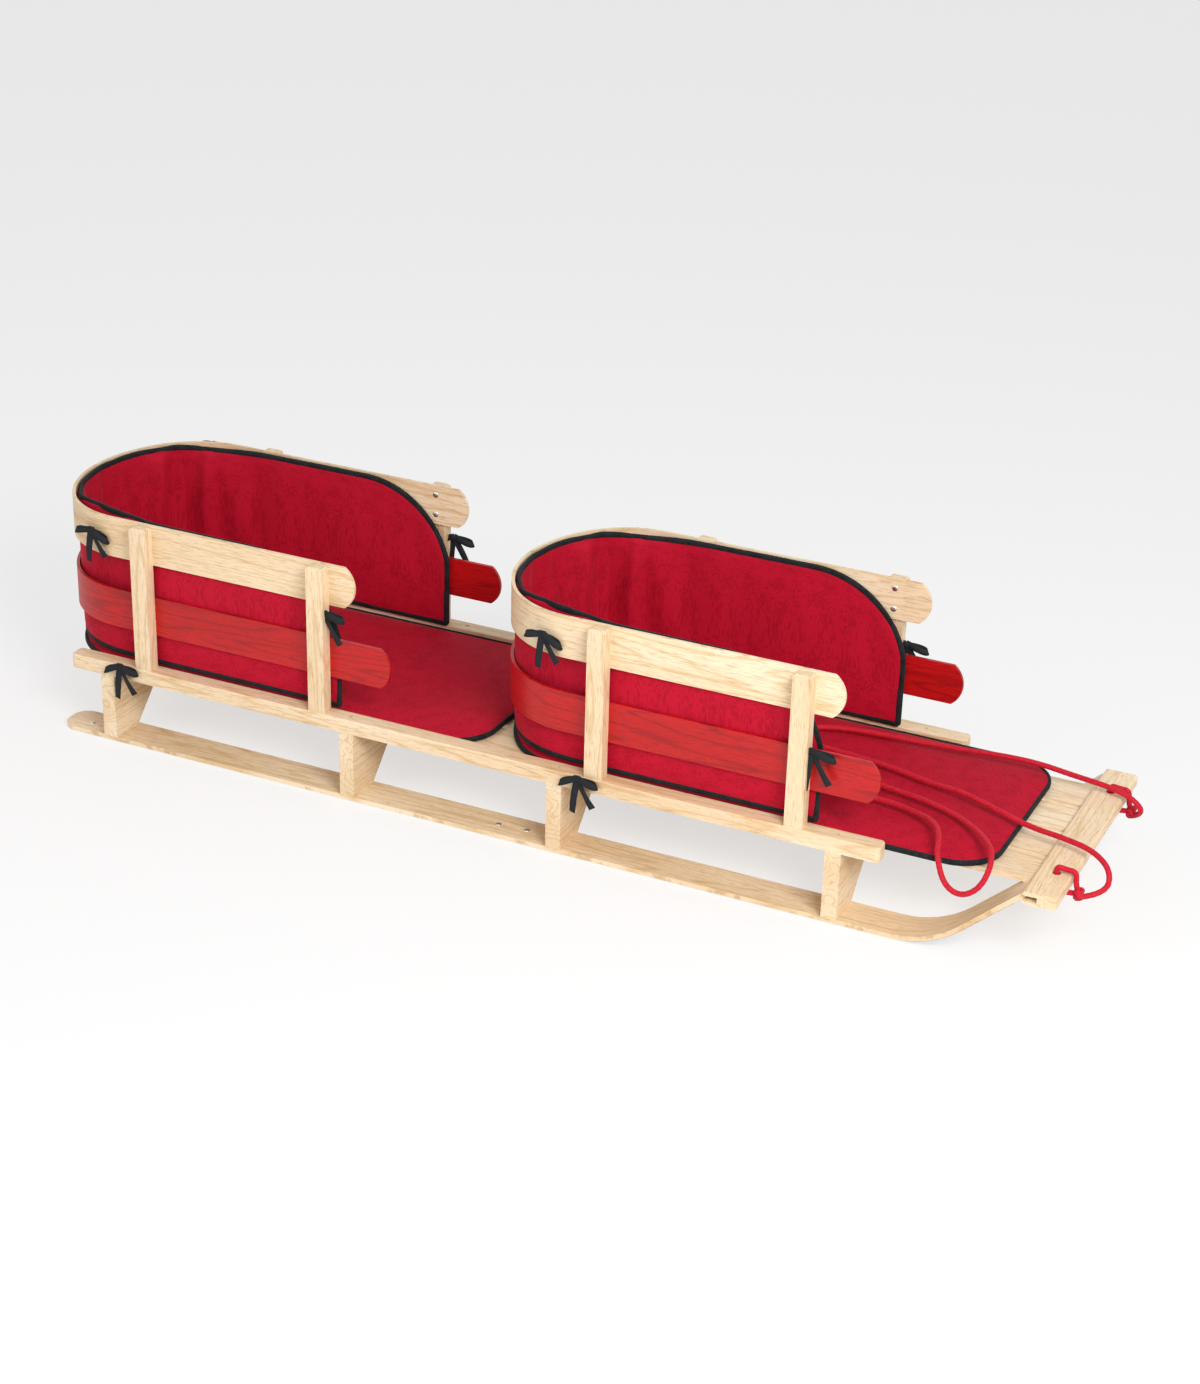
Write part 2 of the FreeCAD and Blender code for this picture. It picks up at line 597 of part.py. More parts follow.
for item in doc.Objects:
    if "Invalid" in item.State or "Error" in item.State:
        raise RuntimeError("%s did not recompute: %s" % (item.Label, item.State))
for part in sub_parts:
    if part.Shape.isNull() or not part.Shape.isValid():
        raise RuntimeError("%s has no valid shape" % part.Label)
os.makedirs("parts", exist_ok=True)
for part in sub_parts:
    part.Shape.exportStep("parts/%s.step" % part.Label)
    box = part.Shape.BoundBox
    print("%-28s x %8.1f %8.1f  y %7.1f %7.1f  z %6.1f %6.1f  volume %9.0f" % (
        part.Label, box.XMin, box.XMax, box.YMin, box.YMax, box.ZMin, box.ZMax,
        part.Shape.Volume))
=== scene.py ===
import math
import bmesh
import bpy
import numpy as np
from mathutils import Matrix, Vector


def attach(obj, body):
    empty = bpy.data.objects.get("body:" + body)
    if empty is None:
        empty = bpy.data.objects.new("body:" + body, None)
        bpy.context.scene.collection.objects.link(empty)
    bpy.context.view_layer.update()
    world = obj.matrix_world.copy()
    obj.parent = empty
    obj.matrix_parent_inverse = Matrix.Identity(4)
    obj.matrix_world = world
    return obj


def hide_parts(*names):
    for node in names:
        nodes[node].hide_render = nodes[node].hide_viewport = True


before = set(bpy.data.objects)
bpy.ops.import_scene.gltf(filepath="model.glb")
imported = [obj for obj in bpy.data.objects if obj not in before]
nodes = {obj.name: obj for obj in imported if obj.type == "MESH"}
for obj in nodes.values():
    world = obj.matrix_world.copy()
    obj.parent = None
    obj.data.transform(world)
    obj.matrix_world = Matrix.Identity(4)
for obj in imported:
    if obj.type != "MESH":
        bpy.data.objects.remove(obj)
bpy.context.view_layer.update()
stage = bpy.context.scene

# ---------------------------------------------------------------- camera
# A long lens looks down on the sled from its front right-hand side.  The frame is taller than
# it is wide, so the sensor width is measured along its height.
LENS_MM, SENSOR_MM = 70.125, 36.0
LENS_SHIFT = (-0.00065, -0.0037)
CAMERA_PLACE = (1.53648, -3.21725, 1.86981)
camera_right = Vector((0.9032, 0.4284, 0.0255)).normalized()
camera_back = Vector((0.3766, -0.8197, 0.4316)).normalized()
camera_back = (camera_back - camera_right * camera_back.dot(camera_right)).normalized()
camera_up = camera_back.cross(camera_right)
lens = bpy.data.cameras.new("camera")
lens.lens, lens.sensor_width = LENS_MM, SENSOR_MM
lens.shift_x, lens.shift_y = LENS_SHIFT
camera = bpy.data.objects.new("camera", lens)
stage.collection.objects.link(camera)
camera.matrix_world = (Matrix.Translation(CAMERA_PLACE)
                       @ Matrix((camera_right, camera_up, camera_back)).transposed().to_4x4())
stage.camera = camera
stage.view_settings.view_transform = "Standard"

# ---------------------------------------------------------------- tow rope
# Red braided polyester cord, 8 mm thick and limp.  It leaves the right-hand knot, runs back
# over the crosspiece on to the seat of the front tub, hangs out over the right-hand rail in
# one bight, and comes back across the seat to the left-hand knot.
RAIL_REAR = -0.7365        # x of the side rails' rear end, which lengths are counted from
ROPE_THICK = 0.008
ROPE_STEP, LOOP_STEP = 0.0011, 0.001
LINE_DETAIL = 16           # points per span of the spline
ROPE_ROUTE_MM = [
    (1561, -127, 96), (1590, -112, 101), (1590, -98, 128), (1560, -80, 142), (1512, -62, 141),
    (1462, -48, 138), (1412, -34, 144), (1356, -14, 148), (1300, 2, 142), (1240, 20, 143),
    (1176, 32, 142), (1110, 36, 143), (1048, 24, 142), (1010, -8, 143), (1004, -52, 142),
    (1030, -88, 143), (1084, -102, 142), (1144, -98, 143), (1200, -84, 142), (1256, -76, 143),
    (1306, -86, 142), (1346, -112, 148), (1366, -146, 149), (1374, -180, 138),
    (1392, -198, 106), (1418, -202, 96), (1442, -198, 112), (1450, -180, 140),
    (1438, -146, 149), (1408, -108, 146), (1364, -70, 142), (1308, -50, 143),
    (1248, -38, 142), (1186, -24, 143), (1130, -20, 142), (1090, 4, 150), (1072, 44, 150),
    (1086, 84, 143), (1128, 106, 142), (1184, 112, 143), (1244, 116, 142), (1304, 120, 143),
    (1364, 122, 147), (1420, 124, 147), (1474, 122, 141), (1524, 115, 140),
    (1562, 108, 134), (1581, 110, 113), (1561, 127, 97),
]


def on_sled(points_mm):
    """Points in mm from the rails' rear end, as metres in the row frame: x/1000 + RAIL_REAR."""
    points = np.asarray(points_mm, float) / 1000
    return points + np.array([RAIL_REAR, 0, 0])


def smooth_line(name, points, step):
    """Evenly spaced points on the NURBS spline of order 3 through its two end points."""
    data = bpy.data.curves.new(name, "CURVE")
    data.dimensions = "3D"
    spline = data.splines.new("NURBS")
    spline.points.add(len(points) - 1)
    spline.points.foreach_set(
        "co", np.column_stack([points, np.ones(len(points))]).ravel().astype(np.float32))
    spline.order_u = 3
    spline.use_endpoint_u = True
    spline.resolution_u = LINE_DETAIL
    holder = bpy.data.objects.new(name, data)
    stage.collection.objects.link(holder)
    bpy.context.view_layer.update()
    drawn = bpy.data.meshes.new_from_object(holder)
    found = np.zeros(len(drawn.vertices) * 3)
    drawn.vertices.foreach_get("co", found)
    bpy.data.objects.remove(holder)
    bpy.data.meshes.remove(drawn)
    return evenly(found.reshape(-1, 3), step)


def evenly(line, step, closed=False):
    """The same polyline with its points a given step apart along its length."""
    if closed:
        line = np.vstack([line, line[:1]])
    gone = np.concatenate([[0], np.cumsum(np.linalg.norm(np.diff(line, axis=0), axis=1))])
    count = int(round(gone[-1] / step))
    at = np.linspace(0, gone[-1], count + 1)
    if closed:
        at = at[:-1]
    return np.column_stack([np.interp(at, gone, line[:, k]) for k in range(3)])


def grid_piece(name, grid, uv=None, wrap_rows=False, wrap_columns=False, caps=False):
    """Mesh of quads over a grid of points (rows, columns, 3), its faces turned outwards.

    Wrapping joins the last row or column to the first.  Caps close the first and last row.
    The uv grid has one row or column more where that way wraps."""
    rows, columns = grid.shape[:2]
    r = np.arange(rows if wrap_rows else rows - 1)[:, None]
    c = np.arange(columns if wrap_columns else columns - 1)[None, :]
    corners = [(r, c), (r, c + 1), (r + 1, c + 1), (r + 1, c)]
    quads = np.stack([(a % rows) * columns + (b % columns) for a, b in corners], axis=-1)
    quads = quads.reshape(-1, 4)
    flat = grid.reshape(-1, 3)
    a, b, d, e = (flat[quads[:, k]] for k in range(4))
    middle = flat.mean(0)
    inside = (np.einsum("ij,ij->i", a - middle, np.cross(b - middle, d - middle)).sum()
              + np.einsum("ij,ij->i", a - middle, np.cross(d - middle, e - middle)).sum())
    faces = quads.tolist()
    spread = None
    if uv is not None:
        where = [np.broadcast_to(x, (r.size, c.size)) for pair in corners for x in pair]
        spread = np.stack([uv[where[2 * k], where[2 * k + 1]] for k in range(4)], axis=2)
        spread = spread.reshape(-1, 2)
    if caps:
        faces += [list(range(columns))[::-1], list(range((rows - 1) * columns, rows * columns))]
        if uv is not None:
            spread = np.vstack([spread, np.zeros((2 * columns, 2))])
    mesh = bpy.data.meshes.new(name)
    mesh.from_pydata(flat, [], faces)
    if uv is not None:
        layer = mesh.uv_layers.new(name="UVMap")
        layer.data.foreach_set("uv", spread.astype(np.float32).ravel())
    if inside < 0:
        mesh.flip_normals()
    mesh.shade_smooth()
    piece = bpy.data.objects.new(name, mesh)
    stage.collection.objects.link(piece)
    return piece


LEAN = np.array([0.23, 0.19, 0.955])     # a direction that none of the lines runs along


def frames_along(line, closed=False):
    """Tangent and two untwisted side directions at each point of a line.

    A side direction square to a fixed lean is turned back by the running sum of its own
    twist, so that it turns only as far as the line bends."""
    if closed:
        tangent = np.roll(line, -1, 0) - np.roll(line, 1, 0)
    else:
        tangent = np.gradient(line, axis=0)
    tangent /= np.linalg.norm(tangent, axis=1)[:, None]
    side = np.cross(tangent, LEAN)
    side /= np.linalg.norm(side, axis=1)[:, None]
    other = np.cross(tangent, side)
    turn = np.cumsum(np.einsum("ij,ij->i", np.gradient(side, axis=0), other))
    cos, sin = np.cos(turn)[:, None], np.sin(turn)[:, None]
    return tangent, side * cos - other * sin, side * sin + other * cos


SIDES, STRANDS, LAY, RIDGE = 24, 6, 0.008, 0.07


def braided_tube(name, line, thick):
    """Round braid: two sets of strands wind opposite ways, and the higher one shows.

    Radius = R (1 - RIDGE + RIDGE max(cos(n a + k s), cos(n a - k s))), with n strands each
    way, a the angle round the cord, s the distance along it, and k one turn per lay."""
    _, side, other = frames_along(line)
    gone = np.arange(len(line)) * np.linalg.norm(line[1] - line[0])
    angle = np.linspace(0, 2 * math.pi, SIDES, endpoint=False)
    wind = 2 * math.pi * gone[:, None] / LAY
    ridge = np.maximum(np.cos(STRANDS * angle + wind), np.cos(STRANDS * angle - wind))
    radius = thick / 2 * (1 - RIDGE + RIDGE * ridge)
    ring = (side[:, None] * np.cos(angle)[None, :, None]
            + other[:, None] * np.sin(angle)[None, :, None])
    turn = np.linspace(0, 1, SIDES + 1)
    uv = np.stack(np.broadcast_arrays(gone[:, None], turn[None, :] * math.pi * thick), axis=-1)
    return grid_piece(name, line[:, None] + ring * radius[..., None], uv,
                      wrap_columns=True, caps=True)


def linear(colour):
    """An sRGB hex colour as linear red, green, blue and full alpha."""
    parts = np.array([int(colour[k:k + 2], 16) for k in (0, 2, 4)]) / 255
    curve = np.where(parts <= 0.04045, parts / 12.92, ((parts + 0.055) / 1.055) ** 2.4)
    return (*curve.tolist(), 1.0)


def add_node(tree, kind, inputs=None, **settings):
    """One node with its settings; an input is a value, or another node's output socket."""
    node = tree.nodes.new(kind)
    for key, value in settings.items():
        setattr(node, key, value)
    for key, value in (inputs or {}).items():
        if isinstance(value, bpy.types.NodeSocket):
            tree.links.new(value, node.inputs[key])
        else:
            node.inputs[key].default_value = value
    return node


def new_finish(name):
    """An empty material and its node tree."""
    material = bpy.data.materials.new(name)
    material.use_nodes = True
    material.node_tree.nodes.clear()
    return material, material.node_tree


def ramp(tree, source, stops):
    """Colour ramp over a value, from (place, linear colour) stops."""
    node = add_node(tree, "ShaderNodeValToRGB", {"Fac": source})
    while len(node.color_ramp.elements) < len(stops):
        node.color_ramp.elements.new(0.5)
    for element, (place, colour) in zip(node.color_ramp.elements, stops):
        element.position, element.color = place, colour
    return node.outputs["Color"]


def close_finish(tree, colour, bump, **shader):
    """Principled surface and output; constants go on the shader's own sockets."""
    surface = add_node(tree, "ShaderNodeBsdfPrincipled",
                       {"Base Color": colour, "Normal": bump, **shader})
    add_node(tree, "ShaderNodeOutputMaterial", {"Surface": surface.outputs["BSDF"]})
    return surface


STRAND_SCALE = 170.0       # wave texture scale at which waves lie 1.8 mm apart, coarser than real
STRAND_LEAN = 0.9          # radians, either way from the cord's own direction
MOTTLE_SCALE = 260.0       # patches about 4 mm across


def rope_finish():
    """Braided polyester: red in patches of lighter and darker tone, and darker where the strands
    lie low, which is painted shade in the grooves between them, with a soft filament sheen.
    """
    material, tree = new_finish("braided_polyester_red")
    place = add_node(tree, "ShaderNodeTexCoord")
    tones = []
    for lean in (STRAND_LEAN, -STRAND_LEAN):
        turned = add_node(tree, "ShaderNodeMapping", {
            "Vector": place.outputs["UV"], "Rotation": (0, 0, lean)})
        tones.append(add_node(tree, "ShaderNodeTexWave", {
            "Vector": turned.outputs["Vector"], "Scale": STRAND_SCALE, "Distortion": 0.6,
            "Detail": 1.0}, wave_type="BANDS").outputs["Fac"])
    both = add_node(tree, "ShaderNodeMath", {0: tones[0], 1: tones[1]}, operation="MAXIMUM")
    mottle = add_node(tree, "ShaderNodeTexNoise", {
        "Vector": place.outputs["Object"], "Scale": MOTTLE_SCALE, "Detail": 2.0})
    groove_shade_and_mottle = add_node(tree, "ShaderNodeMath", {
        0: both.outputs[0], 1: mottle.outputs["Fac"]}, operation="MULTIPLY")
    # Colour follows the strands' height times a random mottle: the low places between strands get
    # the dark red, a painted groove shade, and the mottle varies the tone at random.
    colour = ramp(tree, groove_shade_and_mottle.outputs[0], [(0.0, linear("8E0618")), (0.35, linear("C40A28")),
                                           (0.75, linear("DC2038"))])
    bump = add_node(tree, "ShaderNodeBump", {
        "Height": both.outputs[0], "Strength": 0.5, "Distance": 0.0004})
    close_finish(tree, colour, bump.outputs["Normal"], **{
        "Roughness": 0.6, "Specular IOR Level": 0.25, "Sheen Weight": 0.05,
        "Sheen Roughness": 0.5})
    return material


ROPE_RED = rope_finish()
rope_line = smooth_line("rope_line", on_sled(ROPE_ROUTE_MM), ROPE_STEP)
rope = braided_tube("tow_rope_braid", rope_line, ROPE_THICK)
rope.data.materials.append(ROPE_RED)
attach(rope, "root")
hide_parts("tow_rope")

# At each end the cord goes down through a hole in the crosspiece, round its front edge, and
# is closed under the front by a hard-pulled knot about 21 mm across.  The loop is drawn a
# little thinner than the cord, as a rope is where it is pulled tight.
CROSS_FRONT, HOLE_AT, CROSS_TOP, CROSS_FLOOR = 1546.5, 1525.5, 124.8, 106.1   # mm
HOLE_SIDE, KNOT_AHEAD, KNOT_DROP = 130.0, 11.5, 5.0                           # mm
KNOT_REACH, KNOT_CORD, LOOP_CORD = 0.0068, 0.0074, ROPE_THICK * 0.96          # metres


def trefoil(centre, reach):
    """Trefoil: (-1.5 sin 3t, sin t + 2 sin 2t, cos t - 2 cos 2t), its lobes 3 long at full size,
    drawn up to the given reach."""
    t = np.linspace(0, 2 * math.pi, 120, endpoint=False)
    shape = np.column_stack([-1.5 * np.sin(3 * t), np.sin(t) + 2 * np.sin(2 * t),
                             np.cos(t) - 2 * np.cos(2 * t)])
    return centre + shape * (reach / 3)


HANDS = (("left", 1), ("right", -1))
for hand, side in HANDS:
    y = side * HOLE_SIDE
    loop_mm = [(CROSS_FRONT + 12, y, CROSS_FLOOR - 4), (CROSS_FRONT + 6, y, CROSS_FLOOR + 5),
               (CROSS_FRONT + 6, y, CROSS_TOP + 8), (CROSS_FRONT - 8, y, CROSS_TOP + 8),
               (HOLE_AT - 1, y, CROSS_TOP + 10), (HOLE_AT, y, CROSS_TOP - 4),
               (HOLE_AT, y, CROSS_FLOOR - 2), (HOLE_AT + 2, y, CROSS_FLOOR - 9),
               (CROSS_FRONT - 4, y, CROSS_FLOOR - 6), (CROSS_FRONT + 12, y, CROSS_FLOOR - 5)]
    loop = braided_tube("tow_rope_loop_" + hand,
                        smooth_line("loop_line", on_sled(loop_mm), LOOP_STEP), LOOP_CORD)
    heart = on_sled([(CROSS_FRONT + KNOT_AHEAD, y, CROSS_FLOOR - KNOT_DROP)])[0]
    knot = braided_tube("tow_rope_stopper_" + hand,
                        evenly(trefoil(heart, KNOT_REACH), LOOP_STEP, True), KNOT_CORD)
    for piece in (loop, knot):
        piece.data.materials.append(ROPE_RED)
        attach(piece, "root")
    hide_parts("tow_rope_knot_" + hand)

# ---------------------------------------------------------------- ash frame
# Runners, bunks, side rails, slats, crosspiece, posts and upper bands are pale ash, sanded,
# with their edges eased and a clear satin lacquer.  The grain runs along each piece.
FIGURE_WIDE, FIGURE_LONG = 0.056, 0.75   # metres over which the growth lines wander
PORE_WIDE, PORE_LONG = 0.0011, 0.020     # drawn coarser than real pores, so they show
CLOUD_WIDE, CLOUD_LONG = 0.08, 0.5       # slow change from paler to darker wood
LINES_PER_FIGURE = 26.0


def ash_finish(name, long_axes, light, middle, dark, coat, rough):
    """Ring-porous ash: growth lines as contours of a drawn-out noise, and short open pores.

    The patterns are drawn out along the given axes, which are those the grain follows."""
    material, tree = new_finish(name)
    place = add_node(tree, "ShaderNodeTexCoord")

    def drawn_out(across, along):
        scale = [1 / across] * 3
        for axis in long_axes:
            scale[axis] = 1 / along
        return add_node(tree, "ShaderNodeMapping", {
            "Vector": place.outputs["Object"], "Scale": scale}).outputs["Vector"]

    figure = add_node(tree, "ShaderNodeTexNoise", {
        "Vector": drawn_out(FIGURE_WIDE, FIGURE_LONG), "Scale": 1.0, "Detail": 2.0,
        "Roughness": 0.45, "Distortion": 0.25})
    lines = add_node(tree, "ShaderNodeMath", {
        0: figure.outputs["Fac"], 1: LINES_PER_FIGURE}, operation="MULTIPLY")
    folded = add_node(tree, "ShaderNodeMath", {0: lines.outputs[0], 1: 1.0},
                      operation="PINGPONG")
    pores = add_node(tree, "ShaderNodeTexNoise", {
        "Vector": drawn_out(PORE_WIDE, PORE_LONG), "Scale": 1.0, "Detail": 3.0,
        "Roughness": 0.6})
    cloud = add_node(tree, "ShaderNodeTexNoise", {
        "Vector": drawn_out(CLOUD_WIDE, CLOUD_LONG), "Scale": 1.0, "Detail": 1.0})
    base = ramp(tree, folded.outputs[0], [(0.0, linear(middle)), (0.35, linear(light)),
                                          (1.0, linear(light))])
    shade = ramp(tree, cloud.outputs["Fac"], [(0.3, linear("FFFFFF")), (0.7, linear("EADBC8"))])
    toned = add_node(tree, "ShaderNodeMix", {0: 0.8, 6: base, 7: shade},
                     data_type="RGBA", blend_type="MULTIPLY")
    pit = ramp(tree, pores.outputs["Fac"], [(0.36, (1, 1, 1, 1)), (0.47, (0, 0, 0, 1))])
    few = add_node(tree, "ShaderNodeMath", {0: pit, 1: 0.55}, operation="MULTIPLY")
    colour = add_node(tree, "ShaderNodeMix", {
        0: few.outputs[0], 6: toned.outputs[2], 7: linear(dark)}, data_type="RGBA")
    bump = add_node(tree, "ShaderNodeBump", {
        "Height": pores.outputs["Fac"], "Strength": 0.18, "Distance": 0.0004})
    close_finish(tree, colour.outputs[2], bump.outputs["Normal"], **{
        "Roughness": rough, "Specular IOR Level": 0.35, "Coat Weight": coat,
        "Coat Roughness": 0.22})
    return material


# pale wood, growth lines and pores, then the lacquer coat's weight and the roughness
CLEAR_ASH = ("F3DEBD", "E2C497", "B78B5B", 0.2, 0.48)
ALONG, ACROSS, UPRIGHT, ROUND_TUB, UP_BEND = (0,), (1,), (2,), (0, 1), (0, 2)
ash_along = ash_finish("lacquered_ash_along", ALONG, *CLEAR_ASH)
ash_across = ash_finish("lacquered_ash_across", ACROSS, *CLEAR_ASH)
ash_upright = ash_finish("lacquered_ash_upright", UPRIGHT, *CLEAR_ASH)
ash_round = ash_finish("lacquered_ash_bent", ROUND_TUB, *CLEAR_ASH)
ash_runner = ash_finish("lacquered_ash_runner", UP_BEND, *CLEAR_ASH)


def refinish(node, finish):
    """Gives a carried-over piece one finish."""
    node.data.materials.clear()
    node.data.materials.append(finish)


for node_name, node in nodes.items():
    if node_name.startswith(("side_rail", "deck_slat")):
        refinish(node, ash_along)
    elif node_name in ("runner_left", "runner_right"):
        refinish(node, ash_runner)
    elif node_name.startswith("bunk") or node_name == "front_crosspiece":
        refinish(node, ash_across)
    elif "_post_" in node_name:
        refinish(node, ash_upright)
    elif node_name.endswith("upper_band"):
        refinish(node, ash_round)

# ---------------------------------------------------------------- red lower bands
# The lower band of each tub is the same bent ash under a transparent red stain and a glossy
# lacquer, so the grain shows through as darker lines.
red_ash = ash_finish("red_stained_ash_bent", ROUND_TUB, "C40D10", "A4080C", "700306", 0.22, 0.45)
for tub in ("rear_tub", "front_tub"):
    refinish(nodes[tub + "_lower_band"], red_ash)


# ---------------------------------------------------------------- steel shoes and fixings
# A thin steel strip is screwed under each runner.  Round steel heads hold runners, bands and
# posts together.
LINES_PER_METRE = (12, 1600, 400)        # long along the strip, 0.6 mm across it
PATCHES_PER_METRE = 30.0


def steel_finish(name, colour, rough):
    """Rolled steel: a grey metal with fine lines drawn along it and patches more or less dull."""
    material, tree = new_finish(name)
    place = add_node(tree, "ShaderNodeTexCoord")
    drawn = add_node(tree, "ShaderNodeMapping", {
        "Vector": place.outputs["Object"], "Scale": LINES_PER_METRE})
    lines = add_node(tree, "ShaderNodeTexNoise", {
        "Vector": drawn.outputs["Vector"], "Scale": 1.0, "Detail": 2.0})
    patch = add_node(tree, "ShaderNodeTexNoise", {
        "Vector": place.outputs["Object"], "Scale": PATCHES_PER_METRE, "Detail": 3.0})
    dull = add_node(tree, "ShaderNodeMapRange", {
        "Value": patch.outputs["Fac"], "From Min": 0.3, "From Max": 0.7,
        "To Min": rough - 0.08, "To Max": rough + 0.1})
    tone = ramp(tree, lines.outputs["Fac"], [(0.3, linear(colour)), (0.7, linear("C9C7C2"))])
    bump = add_node(tree, "ShaderNodeBump", {
        "Height": lines.outputs["Fac"], "Strength": 0.12, "Distance": 0.0002})
    close_finish(tree, tone, bump.outputs["Normal"], **{
        "Metallic": 1.0, "Roughness": dull.outputs["Result"]})
    return material


shoe_steel = steel_finish("rolled_steel_strip", "8F8D88", 0.42)
head_steel = steel_finish("zinc_plated_head", "CFCFCB", 0.38)
for hand in ("left", "right"):
    refinish(nodes["runner_shoe_" + hand], shoe_steel)


HEAD_SUNK = 0.0003         # metres of each head's rim that is let into the wood


def round_head(name, centre, normal, radius, rise):
    """Domed head: rings of radius R cos(a) stand rise sin(a) off the face, a from 0 to 90."""
    normal = np.asarray(normal, float) / np.linalg.norm(normal)
    side = np.cross(normal, (0.3, 0.9, 0.2))
    side /= np.linalg.norm(side)
    other = np.cross(normal, side)
    a = np.concatenate([[0, 0], np.linspace(0, math.pi / 2 - 0.12, 7)])
    size = radius * np.cos(a)
    lift = rise * np.sin(a)
    lift[0] = -HEAD_SUNK
    turn = np.linspace(0, 2 * math.pi, 24, endpoint=False)
    grid = (np.asarray(centre) + size[:, None, None] * (
        side * np.cos(turn)[None, :, None] + other * np.sin(turn)[None, :, None])
        + (lift[:, None] * normal)[:, None])
    head = grid_piece(name, grid, wrap_columns=True, caps=True)
    head.data.materials.append(head_steel)
    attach(head, "root")


# Screws in the runners: three on the flat part, and two on the straight part past the bend.
RUNNER_TOP, BEND_START, BEND_RADIUS, BEND_ANGLE = 8.0, 1320.0, 152.0, math.radians(42.2)
FLAT_SCREWS = ((14, 170), (715, 166), (759, 163))      # x and distance from the middle, mm
TIP_SCREWS = ((22.0, 0.006), (60.0, 0.0045))           # mm past the bend, radius in metres
TIP_SCREW_SIDE, SCREW_RADIUS, SCREW_RISE, TIP_SCREW_RISE = 165, 0.0045, 0.0016, 0.002
up_tip = np.array([-math.sin(BEND_ANGLE), 0, math.cos(BEND_ANGLE)])
along_tip = np.array([math.cos(BEND_ANGLE), 0, math.sin(BEND_ANGLE)])
bend_end = np.array([BEND_START + BEND_RADIUS * math.sin(BEND_ANGLE), 0,
                     RUNNER_TOP + BEND_RADIUS * (1 - math.cos(BEND_ANGLE))])
for hand, side in HANDS:
    for number, (x, inset) in enumerate(FLAT_SCREWS, start=1):
        round_head("runner_screw_%s_%d" % (hand, number),
                   on_sled([(x, side * inset, RUNNER_TOP)])[0], (0, 0, 1),
                   SCREW_RADIUS, SCREW_RISE)
    for number, (gone, radius) in enumerate(TIP_SCREWS, start=4):
        spot = bend_end + along_tip * gone + np.array([0, side * TIP_SCREW_SIDE, 0])
        round_head("runner_screw_%s_%d" % (hand, number), on_sled([spot])[0],
                   up_tip, radius, TIP_SCREW_RISE)

# Rivets through each upper band into its front posts.
BAND_INNER, POST_FRONT_MIDDLE, TUB_PITCH = 169.7, 429.5, 745.0   # mm
RIVET_HEIGHTS, RIVET_RADIUS, RIVET_RISE = (347.0, 315.0), 0.0048, 0.0018
TUBS = (("rear_tub", 0.0), ("front_tub", TUB_PITCH))
for tub, shift in TUBS:
    for hand, side in HANDS:
        for number, height in enumerate(RIVET_HEIGHTS, start=1):
            round_head("%s_rivet_%s_%d" % (tub, hand, number),
                       on_sled([(POST_FRONT_MIDDLE + shift, side * BAND_INNER, height)])[0],
                       (0, -side, 0), RIVET_RADIUS, RIVET_RISE)

# ---------------------------------------------------------------- cushions
# Each tub has a loose cushion set sewn from red woven polyester over thin wadding: a padded
# wall that stands inside the bands and a flat seat pad, both edged with black tape.
CORNER_RADIUS, BACK_RADIUS, TUB_OVERHANG, BAND_OUTER = 135.0, 205.0, 73.5, 174.5   # mm
WALL_FLOOR, WALL_TOP, WALL_FRONT, WALL_SWEEP = 136.8, 360.0, 455.0, 148.0          # mm
PAD_FLOOR, PAD_TOP, PAD_CORNER = 118.4, 136.4, 62.0                                # mm
WALL_SET_IN, PAD_SET_IN = 5.2, 8.2       # mm inside the bands' outer face
PLAN_STEP, CORNER_POINTS, BACK_POINTS = 2.0, 80, 90


def tub_plan(offset, front):
    """Line round a tub, right front to left front, and its outward normals, in mm.

    A straight side, a corner arc, one flatter arc across the back, a corner arc and a
    straight side follow each other without a kink."""
    rise = BAND_OUTER - CORNER_RADIUS
    back_x = BACK_RADIUS - TUB_OVERHANG
    gap = BACK_RADIUS - CORNER_RADIUS
    corner_x = back_x - math.sqrt(gap * gap - rise * rise)
    lean = math.atan2(rise, corner_x - back_x)
    half, corner_r, back_r = (BAND_OUTER - offset, CORNER_RADIUS - offset,
                              BACK_RADIUS - offset)
    straight = np.linspace(front, corner_x, int((front - corner_x) / PLAN_STEP))
    first = np.linspace(-math.pi / 2, -lean, CORNER_POINTS)[1:]
    middle = np.linspace(-lean, lean - 2 * math.pi, BACK_POINTS)[1:]
    last = np.linspace(lean, math.pi / 2, CORNER_POINTS)[1:]
    plan = np.vstack([
        np.column_stack([straight, -half + 0 * straight]),
        np.column_stack([corner_x + corner_r * np.cos(first), -rise + corner_r * np.sin(first)]),
        np.column_stack([back_x + back_r * np.cos(middle), back_r * np.sin(middle)]),
        np.column_stack([corner_x + corner_r * np.cos(last), rise + corner_r * np.sin(last)]),
        np.column_stack([straight[::-1], half + 0 * straight])[1:]])
    flow = np.gradient(plan, axis=0)
    flow /= np.linalg.norm(flow, axis=1)[:, None]
    normal = np.column_stack([flow[:, 1], -flow[:, 0]])
    return plan, -normal if normal[0, 1] > 0 else normal


WAVE_LENGTH = 0.314        # metres from crest to crest of the wave texture at scale 1
SLUBS_PER_METRE = 45.0     # thick places in the yarn, about 20 mm apart


